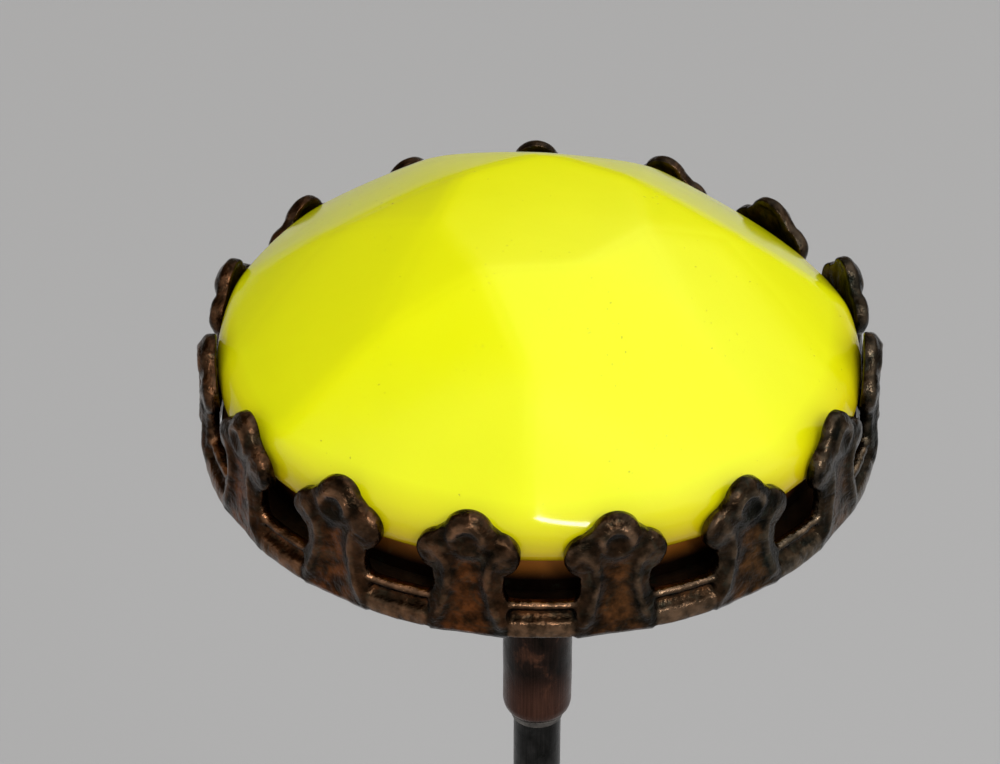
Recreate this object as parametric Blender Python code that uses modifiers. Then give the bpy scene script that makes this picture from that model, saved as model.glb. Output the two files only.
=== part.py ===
"""Hat pin: a faceted glass stone held in a pronged crown, on a ferrule and a long pointed stem.

Metres, +Z up along the pin, head on top, -Y at the front. The origin is on the pin's axis, where the stem
leaves the ferrule's mouth. Every piece is its own object, named for what it is.
"""
import math

import bmesh
import bpy
from mathutils import Matrix, Vector

MM = 0.001
CLEARANCE = 0.03 * MM       # left between pieces that touch
OVERALL_LENGTH = 150 * MM   # top of the stone to the stem's point

# Stem and ferrule
STEM_RADIUS = 0.71 * MM
POINT_LENGTH = 14 * MM
POINT_RADIUS = 0.09 * MM
POINT_STEPS = 8
RIVET_RADIUS = 1.15 * MM
RIVET_CROWN_RADIUS = 0.80 * MM
RIVET_SEAT_RADIUS = 1.03 * MM
RIVET_HEIGHT = 0.40 * MM
FERRULE_RADIUS = 1.03 * MM
FERRULE_CHAMFER = 0.32 * MM         # the turned-in lower end
SHOULDER_RADIUS = 0.99 * MM
SHOULDER_HEIGHT = 0.14 * MM
MOUTH_RADIUS = 0.90 * MM
MOUTH_SOLDER_LENGTH = 0.30 * MM
MOUTH_SOLDER_RADII = (0.88 * MM, 0.81 * MM, 0.77 * MM)   # top, waist and lower edge
FERRULE_FILLET = 0.90 * MM
FILLET_LIP = 0.06 * MM              # thickness of the fillet's thin edges
FILLET_STEPS = 5

# Crown: a stamped strip rolled into a ring
RAIL_BOTTOM = 10.2 * MM     # the crown's lowest edge, which is also the ferrule's length
CROWN_INNER_RADIUS = 9.15 * MM
STRIP_THICKNESS = 0.35 * MM
RAIL_HEIGHT = 1.12 * MM
BEAD_HEIGHT = 0.60 * MM
BEAD_STAND = 0.15 * MM
BEAD_CUTS = (0.15, 0.5, 0.85)       # where the bead's face bends, as shares of its height
PRONG_COUNT = 15
FIRST_PRONG = math.radians(-12)   # angle of the front prong, from -Y towards +X
TOP_LOBE_HEIGHT = 3.22 * MM
TOP_LOBE_RADIUS = 0.68 * MM
SIDE_LOBE_REACH = 0.74 * MM
SIDE_LOBE_HEIGHT = 2.60 * MM
SIDE_LOBE_RADIUS = 0.66 * MM
SIDE_LOBE_START = math.radians(-68)    # where the lobe's arc leaves the waist
WAIST_HEIGHT = 1.60 * MM
WAIST_HALF_WIDTH = 0.95 * MM
FOOT_HALF_WIDTH = 1.20 * MM
LEAN_START = 2.60 * MM      # above this height the prongs lean in over the stone
LEAN_DEPTH = 0.08 * MM
LEAN_MIDDLE = 3.20 * MM
SEAM_GAP = 0.24 * MM
SEAM_STAND = 0.06 * MM      # the seam's solder stands this proud of the strip on each side
SEAM_INSET = 0.04 * MM
SEAM_ROUNDING = 0.05 * MM
ARC_STEPS = 5

# Inside the crown
PLATE_RADIUS = 9.08 * MM
PLATE_RECESS = 0.15 * MM
PLATE_THICKNESS = 0.50 * MM
RIM_FILLET_DROP = 0.07 * MM
RIM_FILLET_WIDTH = 0.36 * MM
BEARING_RADIUS = 8.30 * MM
BEARING_WALL = 0.40 * MM
BEARING_HEIGHT = 1.30 * MM
PACKING_RADIUS = 7.80 * MM
PACKING_HOLE = 1.40 * MM

# Stone: a flat back, a bevel, an upright girdle and a cut crown
STONE_RADIUS = 9.05 * MM
STONE_SIDES = 84
BACK_BEVEL = 0.60 * MM
GIRDLE_TOP = 3.35 * MM      # above the rail's bottom, under each star facet
STONE_TOP = 7.50 * MM       # above the rail's bottom
CROWN_SIDES = 7
CROWN_TURN = math.radians(-2.6)
TABLE_RADIUS = 3.00 * MM
STAR_TIP_RADIUS = 5.96 * MM
STAR_TIP_HEIGHT = 5.80 * MM     # above the rail's bottom
# The stone is ground by hand, so some corners stand away from the regular pattern.
# Corner 0 is the front one, or the first to its right, and they go on towards +X.
# A table corner stands further out by its shift. A star tip's shift is outwards, round in degrees, and up.
TABLE_CORNER_SHIFT = {0: -0.08 * MM, 2: 0.20 * MM, 3: 0.10 * MM, 4: -0.10 * MM, 6: 0.35 * MM}
STAR_TIP_SHIFT = {
    0: (0.10 * MM, 0.0, -0.06 * MM),
    1: (-0.35 * MM, 0.0, 0.21 * MM),
    3: (0.0, -2.0, -0.07 * MM),
    4: (0.15 * MM, 5.5, 0.03 * MM),
    5: (-0.05 * MM, 2.5, 0.0),
    6: (0.0, 4.5, 0.0),
}

plate_bottom = RAIL_BOTTOM + PLATE_RECESS
plate_top = plate_bottom + PLATE_THICKNESS
bearing_bottom = plate_top + CLEARANCE
bearing_top = bearing_bottom + BEARING_HEIGHT
stone_back = bearing_top + CLEARANCE
stone_top = RAIL_BOTTOM + STONE_TOP
point_z = stone_top - OVERALL_LENGTH
bore_radius = STEM_RADIUS + CLEARANCE
roll_radius = CROWN_INNER_RADIUS + STRIP_THICKNESS / 2
pitch = 2 * math.pi * roll_radius / PRONG_COUNT


def clear_scene():
    for item in list(bpy.data.objects):
        bpy.data.objects.remove(item, do_unlink=True)


def make_collection(name):
    group = bpy.data.collections.new(name)
    bpy.context.scene.collection.children.link(group)
    return group


def make_material(name, colour, roughness, metallic):
    material = bpy.data.materials.new(name)
    material.use_nodes = True
    shader = material.node_tree.nodes["Principled BSDF"]
    shader.inputs["Base Color"].default_value = (*colour, 1.0)
    shader.inputs["Roughness"].default_value = roughness
    shader.inputs["Metallic"].default_value = metallic
    return material


def add_object(name, mesh, material, group):
    item = bpy.data.objects.new(name, mesh)
    mesh.materials.append(material)
    group.objects.link(item)
    return item


def mesh_from(bm, name):
    bmesh.ops.recalc_face_normals(bm, faces=bm.faces)
    mesh = bpy.data.meshes.new(name)
    bm.to_mesh(mesh)
    bm.free()
    return mesh


def turned(name, profile, steps, material, group, ring=False):
    """A turned piece. The profile's (radius, height) points run down its outer side, and a ring's go on
    up its inner side and close."""
    count = len(profile)
    edges = [(i, i + 1) for i in range(count - 1)]
    if ring:
        edges.append((count - 1, 0))
    mesh = bpy.data.meshes.new(name)
    mesh.from_pydata([(radius, 0.0, height) for radius, height in profile], edges, [])
    item = add_object(name, mesh, material, group)
    screw = item.modifiers.new("turn", "SCREW")
    screw.axis = "Z"
    screw.steps = steps
    screw.render_steps = steps
    screw.use_merge_vertices = True
    screw.merge_threshold = 0.000001
    screw.use_smooth_shade = True
    return item


def tube_profile(outer, inner, top, bottom):
    return [(outer, top), (outer, bottom), (inner, bottom), (inner, top)]


def make_stem(material, group):
    """Wire with a riveted head inside the crown and a long slim point."""
    rivet_seat = plate_top + CLEARANCE
    rivet_top = rivet_seat + RIVET_HEIGHT
    profile = [(0.0, rivet_top), (RIVET_CROWN_RADIUS, rivet_top)]
    profile += [(RIVET_RADIUS, rivet_seat + RIVET_HEIGHT / 2), (RIVET_SEAT_RADIUS, rivet_seat)]
    profile.append((STEM_RADIUS, rivet_seat))
    for i in range(POINT_STEPS + 1):
        along = i / POINT_STEPS
        radius = POINT_RADIUS + (STEM_RADIUS - POINT_RADIUS) * (1 - along**1.5)
        profile.append((radius, point_z + POINT_LENGTH * (1 - along)))
    profile.append((0.0, point_z))
    return turned("stem", profile, 24, material, group)


def make_ferrule(material, group):
    top = plate_bottom - CLEARANCE
    profile = [(FERRULE_RADIUS, top), (FERRULE_RADIUS, FERRULE_CHAMFER)]
    profile += [(SHOULDER_RADIUS, SHOULDER_HEIGHT), (MOUTH_RADIUS, 0.0)]
    profile += [(bore_radius, 0.0), (bore_radius, top)]
    return turned("ferrule", profile, 32, material, group, ring=True)


def make_ferrule_solder(material, group):
    """The hollow-sided fillet of solder between the ferrule and the base plate."""
    inner = FERRULE_RADIUS + CLEARANCE
    top = plate_bottom - CLEARANCE
    profile = [(inner + FILLET_LIP + FERRULE_FILLET, top)]
    for i in range(FILLET_STEPS + 1):
        turn = math.pi / 2 * i / FILLET_STEPS
        radius = inner + FILLET_LIP + FERRULE_FILLET * (1 - math.sin(turn))
        height = top - FILLET_LIP - FERRULE_FILLET * (1 - math.cos(turn))
        profile.append((radius, height))
    profile += [(inner, height), (inner, top)]
    return turned("ferrule_solder", profile, 32, material, group, ring=True)


def make_mouth_solder(material, group):
    """The small meniscus of solder where the stem leaves the ferrule."""
    top = -CLEARANCE
    bottom = -MOUTH_SOLDER_LENGTH
    upper, waist, lower = MOUTH_SOLDER_RADII
    profile = [(upper, top), (waist, bottom / 2), (lower, bottom), (bore_radius, bottom), (bore_radius, top)]
    return turned("mouth_solder", profile, 32, material, group, ring=True)


def make_base_plate(material, group):
    profile = tube_profile(PLATE_RADIUS, bore_radius, plate_top, plate_bottom)
    return turned("base_plate", profile, 72, material, group, ring=True)


def make_rim_solder(material, group):
    """The fillet of solder under the base plate's edge, against the crown's inner face."""
    top = plate_bottom - CLEARANCE
    profile = [(PLATE_RADIUS, top), (PLATE_RADIUS, top - RIM_FILLET_DROP)]
    profile += [(PLATE_RADIUS - RIM_FILLET_WIDTH * 0.4, top - RIM_FILLET_DROP * 0.8)]
    profile += [(PLATE_RADIUS - RIM_FILLET_WIDTH, top)]
    return turned("rim_solder", profile, 72, material, group, ring=True)


def make_bearing_ring(material, group):
    inner = BEARING_RADIUS - BEARING_WALL
    profile = tube_profile(BEARING_RADIUS, inner, bearing_top, bearing_bottom)
    return turned("bearing_ring", profile, 72, material, group, ring=True)


def make_packing_disc(material, group):
    """The card disc that beds the stone's back and clears the riveted stem."""
    profile = tube_profile(PACKING_RADIUS, PACKING_HOLE, stone_back - CLEARANCE, bearing_bottom)
    return turned("packing_disc", profile, 48, material, group, ring=True)


def circle_crossing(first, first_radius, second, second_radius):
    """Where two circles in the strip's plane cross, on the left of the line from the first to the second."""
    apart = second - first
    distance = apart.length
    along = (distance**2 + first_radius**2 - second_radius**2) / (2 * distance)
    across = math.sqrt(first_radius**2 - along**2)
    unit = apart / distance
    return first + unit * along + Vector((-unit.y, unit.x)) * across


def arc(centre, radius, start, end, steps):
    points = []
    for i in range(steps + 1):
        turn = start + (end - start) * i / steps
        points.append(centre + Vector((math.cos(turn), math.sin(turn))) * radius)
    return points


def prong_half_outline():
    """Right half of one prong, from the rail up to the top: foot, waist, side lobe and top lobe."""
    top_lobe = Vector((0.0, TOP_LOBE_HEIGHT))
    side_lobe = Vector((SIDE_LOBE_REACH, SIDE_LOBE_HEIGHT))
    notch = circle_crossing(top_lobe, TOP_LOBE_RADIUS, side_lobe, SIDE_LOBE_RADIUS)
    side_end = math.atan2(notch.y - side_lobe.y, notch.x - side_lobe.x)
    top_start = math.atan2(notch.y - top_lobe.y, notch.x - top_lobe.x)
    foot_rise = WAIST_HEIGHT - RAIL_HEIGHT
    flare = FOOT_HALF_WIDTH - WAIST_HALF_WIDTH
    points = []
    for turn in (0.0, math.pi / 4, math.pi / 2):
        width = FOOT_HALF_WIDTH - flare * math.sin(turn)
        points.append(Vector((width, RAIL_HEIGHT + foot_rise * (1 - math.cos(turn)))))
    points += arc(side_lobe, SIDE_LOBE_RADIUS, SIDE_LOBE_START, side_end, ARC_STEPS)
    points += arc(top_lobe, TOP_LOBE_RADIUS, top_start, math.pi / 2, ARC_STEPS)[1:]
    return points


def tile_outline(left_edge, right_edge):
    """One pitch of the flat strip: a stretch of rail with its prong."""
    half = prong_half_outline()
    mirrored = [Vector((-point.x, point.y)) for point in reversed(half[:-1])]
    corners = [Vector((left_edge, 0.0)), Vector((right_edge, 0.0)), Vector((right_edge, RAIL_HEIGHT))]
    return corners + half + mirrored + [Vector((left_edge, RAIL_HEIGHT))]


def cut_lines(bm, positions, normal):
    for position in positions:
        everything = bm.verts[:] + bm.edges[:] + bm.faces[:]
        bmesh.ops.bisect_plane(bm, geom=everything, dist=1e-9, plane_co=normal * position, plane_no=normal)


def roll_strip(bm):
    """Rolls the flat strip round the pin's axis. X is along the strip, Y its depth and Z its height."""
    for vert in bm.verts:
        along, depth, height = vert.co
        lean = max(0.0, height - LEAN_START) / (TOP_LOBE_HEIGHT + TOP_LOBE_RADIUS - LEAN_START)
        radius = CROWN_INNER_RADIUS + depth - LEAN_DEPTH * lean**2
        bead = 1 - (2 * height / BEAD_HEIGHT - 1) ** 2
        if depth > 0 and bead > 0:
            radius += BEAD_STAND * math.sqrt(bead)
        angle = FIRST_PRONG + along / roll_radius
        vert.co = (radius * math.sin(angle), -radius * math.cos(angle), RAIL_BOTTOM + height)


def make_crown_gallery(material, group):
    """The stamped strip with its prongs, rolled into a ring that stays open by the width of its seam."""
    bm = bmesh.new()
    first = -(PRONG_COUNT // 2) + 1
    last = first + PRONG_COUNT - 1
    tiles = range(first, last + 1)
    for tile in tiles:
        left = -pitch / 2 + (SEAM_GAP / 2 if tile == first else 0.0)
        right = pitch / 2 - (SEAM_GAP / 2 if tile == last else 0.0)
        outline = tile_outline(left, right)
        bm.faces.new([bm.verts.new((tile * pitch + point.x, 0.0, point.y)) for point in outline])
    bmesh.ops.remove_doubles(bm, verts=bm.verts, dist=0.001 * MM)
    upright_lines = [(tile + share) * pitch for tile in tiles for share in (-0.25, 0.0, 0.25)]
    cut_lines(bm, upright_lines, Vector((1, 0, 0)))
    bead_lines = [BEAD_HEIGHT * share for share in BEAD_CUTS]
    cut_lines(bm, bead_lines + [RAIL_HEIGHT, WAIST_HEIGHT, LEAN_START, LEAN_MIDDLE], Vector((0, 0, 1)))
    bmesh.ops.triangulate(bm, faces=bm.faces)
    outer = bmesh.ops.extrude_face_region(bm, geom=bm.faces[:])["geom"]
    for vert in outer:
        if isinstance(vert, bmesh.types.BMVert):
            vert.co.y = STRIP_THICKNESS
    roll_strip(bm)
    return add_object("crown_gallery", mesh_from(bm, "crown_gallery"), material, group)


def make_gallery_seam(material, group):
    """The run of solder that closes the rolled strip at the back."""
    width = SEAM_GAP - 2 * CLEARANCE
    bm = bmesh.new()
    bmesh.ops.create_cube(bm, size=1.0)
    size = (width, STRIP_THICKNESS + 2 * SEAM_STAND, RAIL_HEIGHT - 2 * SEAM_INSET)
    bmesh.ops.scale(bm, vec=size, verts=bm.verts)
    item = add_object("gallery_seam", mesh_from(bm, "gallery_seam"), material, group)
    seam_angle = FIRST_PRONG + (PRONG_COUNT // 2 + 1.5) * pitch / roll_radius
    centre = Vector((math.sin(seam_angle), -math.cos(seam_angle), 0)) * roll_radius
    item.location = centre + Vector((0, 0, RAIL_BOTTOM + RAIL_HEIGHT / 2))
    item.rotation_euler = (0, 0, seam_angle)
    bevel = item.modifiers.new("melted edges", "BEVEL")
    bevel.width = SEAM_ROUNDING
    bevel.segments = 2
    return item


def facet_direction(angle):
    return Vector((math.sin(angle), -math.cos(angle), 0.0))


def polar_point(radius, angle, height):
    return facet_direction(angle) * radius + Vector((0, 0, height))


def cut_facet(bm, point, normal):
    """Grinds away everything beyond a plane and closes the stone with the new facet."""
    everything = bm.verts[:] + bm.edges[:] + bm.faces[:]
    bmesh.ops.bisect_plane(bm, geom=everything, dist=1e-8, plane_co=point, plane_no=normal, clear_outer=True)
    rim = [edge for edge in bm.edges if edge.is_boundary]
    if rim:
        bmesh.ops.holes_fill(bm, edges=rim, sides=0)


def crown_corners():
    """The table's corners, the star facets' tips between them, and the angle of each."""
    step = 2 * math.pi / CROWN_SIDES
    table, tips = [], []
    for side in range(CROWN_SIDES):
        reach = TABLE_RADIUS + TABLE_CORNER_SHIFT.get(side, 0.0)
        table.append(polar_point(reach, CROWN_TURN + (side + 0.5) * step, stone_top))
        shift, turn, rise = STAR_TIP_SHIFT.get(side, (0.0, 0.0, 0.0))
        angle = CROWN_TURN + side * step + math.radians(turn)
        tips.append(polar_point(STAR_TIP_RADIUS + shift, angle, RAIL_BOTTOM + STAR_TIP_HEIGHT + rise))
    return table, tips, step


def upward_normal(first, second, third):
    normal = (second - first).cross(third - first).normalized()
    return normal if normal.z > 0 else -normal


def girdle_crossing(point, normal, angle):
    """Where a sloping facet meets the girdle at an angle round the stone."""
    rim = polar_point(STONE_RADIUS, angle, 0.0)
    rim.z = point.z - normal.dot(Vector((rim.x - point.x, rim.y - point.y, 0.0))) / normal.z
    return rim


def make_stone(material, group):
    """A blank with a flat, bevelled back, ground with mains, stars and paired girdle facets round a table."""
    bm = bmesh.new()
    middle = Matrix.Translation((0, 0, (stone_top + stone_back) / 2))
    bmesh.ops.create_cone(bm, cap_ends=True, segments=STONE_SIDES, radius1=STONE_RADIUS, radius2=STONE_RADIUS,
                          depth=stone_top - stone_back, matrix=middle)
    back_rim = [edge for edge in bm.edges if all(abs(vert.co.z - stone_back) < 1e-7 for vert in edge.verts)]
    bmesh.ops.bevel(bm, geom=back_rim, offset=BACK_BEVEL, segments=2, profile=0.5, affect="EDGES")
    table, tips, step = crown_corners()
    rims = []
    for side in range(CROWN_SIDES):
        after = (side + 1) % CROWN_SIDES
        main = upward_normal(table[side], tips[side], tips[after])
        cut_facet(bm, table[side], main)
        rims.append(girdle_crossing(table[side], main, CROWN_TURN + (side + 0.5) * step))
        cut_facet(bm, tips[side], upward_normal(table[side - 1], table[side], tips[side]))
    for side in range(CROWN_SIDES):
        low = polar_point(STONE_RADIUS, CROWN_TURN + side * step, RAIL_BOTTOM + GIRDLE_TOP)
        for rim in (rims[side - 1], rims[side]):
            cut_facet(bm, tips[side], upward_normal(tips[side], low, rim))
    return add_object("faceted_stone", mesh_from(bm, "faceted_stone"), material, group)


def main():
    clear_scene()
    group = make_collection("hat_pin")
    glass = make_material("yellow_glass", (0.86, 0.88, 0.02), 0.12, 0.0)
    patina = make_material("dark_gallery", (0.10, 0.055, 0.035), 0.38, 1.0)
    plate_metal = make_material("dark_plate", (0.13, 0.075, 0.045), 0.45, 1.0)
    solder = make_material("dull_solder", (0.20, 0.18, 0.165), 0.50, 1.0)
    ferrule_metal = make_material("dark_ferrule", (0.09, 0.045, 0.035), 0.36, 1.0)
    steel = make_material("dark_steel", (0.055, 0.048, 0.048), 0.34, 1.0)
    card = make_material("packing_card", (0.28, 0.22, 0.15), 0.90, 0.0)
    make_stone(glass, group)
    make_crown_gallery(patina, group)
    make_gallery_seam(solder, group)
    make_bearing_ring(plate_metal, group)
    make_packing_disc(card, group)
    make_base_plate(plate_metal, group)
    make_rim_solder(solder, group)
    make_ferrule(ferrule_metal, group)
    make_ferrule_solder(solder, group)
    make_mouth_solder(solder, group)
    make_stem(steel, group)


main()
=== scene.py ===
"""The hat pin's looks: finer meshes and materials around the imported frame.

Metres, +Z up along the pin, head on top, -Y at the front. The origin is on the pin's axis, where the stem
leaves the ferrule's mouth.
"""
import math
import random

import bpy
import numpy as np
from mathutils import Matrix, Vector, noise
from mathutils.geometry import delaunay_2d_cdt


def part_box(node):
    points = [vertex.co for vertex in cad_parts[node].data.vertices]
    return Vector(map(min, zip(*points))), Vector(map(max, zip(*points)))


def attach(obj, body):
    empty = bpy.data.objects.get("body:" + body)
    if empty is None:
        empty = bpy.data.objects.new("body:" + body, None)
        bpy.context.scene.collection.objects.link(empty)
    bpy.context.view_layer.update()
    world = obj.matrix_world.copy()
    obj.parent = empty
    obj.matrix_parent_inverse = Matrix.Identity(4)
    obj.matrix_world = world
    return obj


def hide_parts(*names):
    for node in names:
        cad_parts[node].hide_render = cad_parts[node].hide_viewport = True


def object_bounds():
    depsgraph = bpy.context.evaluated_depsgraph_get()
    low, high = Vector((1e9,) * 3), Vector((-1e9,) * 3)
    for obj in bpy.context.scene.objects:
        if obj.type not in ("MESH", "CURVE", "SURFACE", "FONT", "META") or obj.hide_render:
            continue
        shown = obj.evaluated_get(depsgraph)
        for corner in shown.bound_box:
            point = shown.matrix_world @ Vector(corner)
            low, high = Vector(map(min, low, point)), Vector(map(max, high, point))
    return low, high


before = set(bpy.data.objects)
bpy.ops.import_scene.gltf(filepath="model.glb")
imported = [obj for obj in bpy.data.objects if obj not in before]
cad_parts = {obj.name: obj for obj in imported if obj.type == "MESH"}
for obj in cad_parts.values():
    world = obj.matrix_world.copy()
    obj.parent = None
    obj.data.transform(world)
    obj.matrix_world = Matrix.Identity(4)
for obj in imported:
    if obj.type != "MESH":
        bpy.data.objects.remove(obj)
cad_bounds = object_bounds()

MM = 0.001

# Camera: the angle and framing of the reference view
CAMERA_ELEVATION = math.radians(35.31)
CAMERA_DISTANCE = 118.2 * MM
CAMERA_TARGET = Vector((-1.12 * MM, 0.0, 11.89 * MM))
CAMERA_LENS = 149.4
SENSOR_WIDTH = 36
NEAREST_SEEN = 0.01

# Key light, which makes the streak on the stone's front edge. Azimuth 0 is the front, and grows towards +X.
KEY_AZIMUTH = math.radians(17.5)
KEY_ELEVATION = math.radians(41)
KEY_DISTANCE = 0.60
KEY_SIZE = (0.09, 0.25)
KEY_ROLL = math.radians(35)
KEY_POWER = 1.66
KEY_COLOUR = (1.0, 0.98, 0.96)

# Surround: dim and warm, with the sky in front bright up to a soft edge, and some light from the right
FRONT_EDGE_ELEVATION = math.radians(65)     # height of the bright part's edge, straight in front
FRONT_EDGE = (0.31, 0.12)       # sines of the angles behind that edge with no and with full light
RIGHT_MIDDLE = (math.radians(118), math.radians(60))    # azimuth and elevation of the light from the right
RIGHT_EDGE = (0.52, 0.98)       # cosines of the angles from its middle with no and with full light
SURROUND_STRENGTH = 0.165
FRONT_STRENGTH = 0.52
RIGHT_STRENGTH = 0.98
SURROUND_COLOUR = (1.0, 0.70, 0.40)
WINDOW_COLOUR = (0.97, 0.985, 1.0)

# Floor, just under the pin's point
FLOOR_REACH = 2.0
FLOOR_GAP = 0.2 * MM

# Crown: a stamped strip rolled into a ring. Heights are above the rail's lower edge.
BEAD_STAND = 0.15 * MM
BEAD_SQUARENESS = 2.4
STRIP_THICKNESS = 0.35 * MM
RAIL_HEIGHT = 1.12 * MM
BEAD_HEIGHT = 0.60 * MM
COVE_TOP = 0.98 * MM
COVE_DEPTH = 0.11 * MM
PRONG_COUNT = 15
FIRST_PRONG = math.radians(-12)
TOP_LOBE = (0.0, 3.22 * MM)
TOP_LOBE_RADIUS = 0.68 * MM
PRONG_TOP = TOP_LOBE[1] + TOP_LOBE_RADIUS
SIDE_LOBE = (0.74 * MM, 2.60 * MM)
SIDE_LOBE_RADIUS = 0.66 * MM
SIDE_LOBE_START = math.radians(-68)
NOTCH_FILL = 0.32               # how much of each lobe, in radians, the shallow notches between them take
WAIST_HEIGHT = 1.60 * MM
WAIST_HALF_WIDTH = 0.95 * MM
FOOT_HALF_WIDTH = 1.20 * MM
LEAN_START = 2.60 * MM
LEAN_DEPTH = 0.08 * MM
SEAM_GAP = 0.24 * MM
EDGE_ROUNDING = 0.14 * MM
LOWER_ROUNDING = 0.06 * MM
CROWN_WAVE = 0.022 * MM
CROWN_WAVE_SIZE = 0.35 * MM

# Crown mesh
FLARE_STEPS = 7
SIDE_LOBE_STEPS = 20
TOP_LOBE_STEPS = 14
RIDGE_POINTS = 60
FILL_SPACING = 0.072 * MM
RAIL_SPACING = (0.15 * MM, 0.035 * MM)      # along the rail, and across its bead
RAIL_GRID_START = FOOT_HALF_WIDTH + 0.04 * MM
RAIL_GRID_BOTTOM = LOWER_ROUNDING * 1.5
EDGE_ROWS = (0.12, 0.45, 1.0)   # rows of points inside a free edge, as shares of its rounding
ROW_CLEARANCE = 0.85            # share of its inset that a row's point keeps from every part of the edge
GRID_CLEARANCE = 0.8 * EDGE_ROUNDING
SIDE_CLEARANCE = 0.3 * FILL_SPACING
INSIDE_TRIANGLES = 1            # the kind of result asked of the triangulation
TRIANGULATION_TOLERANCE = 1e-9
SIDE_TOLERANCE = 1e-7
WELD_DISTANCE = 0.002 * MM

# Relief pressed into each prong
RIDGE = ((0.95, 2.80), (0.30, 2.45), (0.45, 1.40), (1.00, 0.15))   # a Bezier curve's points, in mm
RIDGE_RISE = 0.12 * MM
RIDGE_WIDTH = 0.17 * MM
RIDGE_RUN_IN = 0.8 * MM         # height in which a ridge grows from nothing
CHANNEL_DEPTH = 0.07 * MM
CHANNEL_END = (2.2 * MM, 2.75 * MM)     # heights between which it fades out
NARROWEST_CHANNEL = 0.1 * MM    # half its width where the ridges are closest
FOOT_RISE = 0.13 * MM
FOOT_EDGE = (0.20 * MM, 0.02 * MM)      # insets between which the foot's side falls away
FOOT_FADE = (0.4 * MM, 1.5 * MM)        # heights between which the prong gets thinner
FOOT_LOSS = 0.6                 # share of its rise that it loses there
RAIL_FADE = (0.05 * MM, 0.15 * MM)      # how far below and above the rail's upper edge its relief ends
HOLLOW = (0.0, 3.12 * MM)
HOLLOW_RIM_RADIUS = 0.42 * MM
HOLLOW_RIM_WIDTH = 0.17 * MM
HOLLOW_RIM_RISE = 0.16 * MM
HOLLOW_RIM_LEAST = 0.45         # share of that rise at the rim's lower side
HOLLOW_RIM_FADE = (-0.35 * MM, 0.25 * MM)
EAR_DOME = (0.90 * MM, 2.70 * MM)
EAR_DOME_RADIUS = 0.50 * MM
EAR_DOME_RISE = 0.10 * MM
BLEND_POWER = 3                 # the higher it is, the sharper the lines between raised features
BACK_RISE = 0.35                # shares of the relief and of the edges' rounding that show on the back
BACK_DROP = 0.6

# Wear: how rubbed the crown's metal is at places, from 0 to 1, and how coppery
WORN_ALL = 0.08
WORN_CREST = 0.55
WORN_EDGE = 0.25
WORN_BEAD = 0.6
WORN_RAIL = 0.8
WORN_BACK = 0.25
CREST_STAND = 0.14 * MM         # features this high have fully rubbed crests
WORN_EDGE_WIDTH = 0.10 * MM
WORN_RAIL_WIDTH = 0.09 * MM
COVE_COPPER = 0.6
BACK_COPPER = 0.3

# Prong quirks: the smallest and largest of each, lean and shift in mm
LEANS = (-0.05, 0.09)
TWISTS = (-0.09, 0.09)
SHIFTS = (-0.06, 0.06)
STRETCHES = (-0.025, 0.025)

# Stone
STONE_STEPS = 420
STONE_RINGS = 110
GIRDLE_STEPS = 12
WALL_STEPS = 8
BEVEL_STEPS = 6
BACK_STEPS = 9
FACET_SOFTNESS = 0.055 * MM
UPWARD = 0.3                    # least upward part of a crown facet's normal
SAME_NORMAL = 0.9999            # CAD faces closer than this in direction and distance are one facet
SAME_DISTANCE = 0.02 * MM
DOME_RADIUS = 11.3 * MM         # the round blank the facets were ground from, which they still bow towards
DOME_TOP = 0.38 * MM            # its top above the table facet
DOME_SHARE = 0.34
CROWN_TILT = 0.020              # rise of the crown per length towards the left, where the stone is thicker
SLOPE_POINTS = (0.10 * MM, 0.60 * MM)   # how far in from the girdle the slope there is measured
GIRDLE_ROUNDING = 1.05 * MM
BACK_BEVEL = 0.60 * MM
THINNEST_WALL = 0.05 * MM
STONE_SPREAD = 0.07 * MM        # how much wider than the CAD stone it is, to leave little gap to the prongs
STONE_WAVE = 0.010 * MM
STONE_WAVE_SIZE = 2.3 * MM

# Turned parts: radii from the pin's axis, heights from the ferrule's mouth
LONGEST_CORNER = 0.48           # share of a side that a rounded corner may take
CORNER_STEPS = 4
BORE = 0.74 * MM
TURN_IN_START = 0.32 * MM
TURN_IN = (0.99 * MM, 0.14 * MM)
MOUTH_RADIUS = 0.90 * MM
WIRE_RADIUS = 0.71 * MM
POINT_LENGTH = 14 * MM
POINT_STEPS = 12
POINT_CURVE = 1.5
TIP_RADIUS = 0.09 * MM
RIVET_HEIGHT = 0.40 * MM
RIVET_SHOULDER = 0.20 * MM      # how far below its top the rivet is widest
RIVET_TOP_RADIUS = 0.80 * MM
RIVET_SEAT_RADIUS = 1.03 * MM

# Solder
FILLET_RADIUS = 1.06 * MM
FILLET_LIP = 0.06 * MM
FILLET_STEPS = 8
MOUTH_SOLDER_RADII = (0.81 * MM, 0.77 * MM)     # halfway down and at the bottom
RIM_SOLDER_WIDTH = 0.36 * MM
RIM_SOLDER_FLAT = (0.15 * MM, 0.01 * MM)        # the width of its underside, and how much that climbs
SEAM_STEPS = 24
SEAM_ROWS = 18
SEAM_SQUARENESS = 6
SEAM_HALF_DEPTH = 0.27 * MM
SEAM_HALF_WIDTH = 0.105 * MM
SEAM_LEAST = 0.3                # share of its thickness at its ends
SEAM_WAVE = 0.03 * MM
SEAM_WAVE_SIZE = 0.3 * MM

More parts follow.
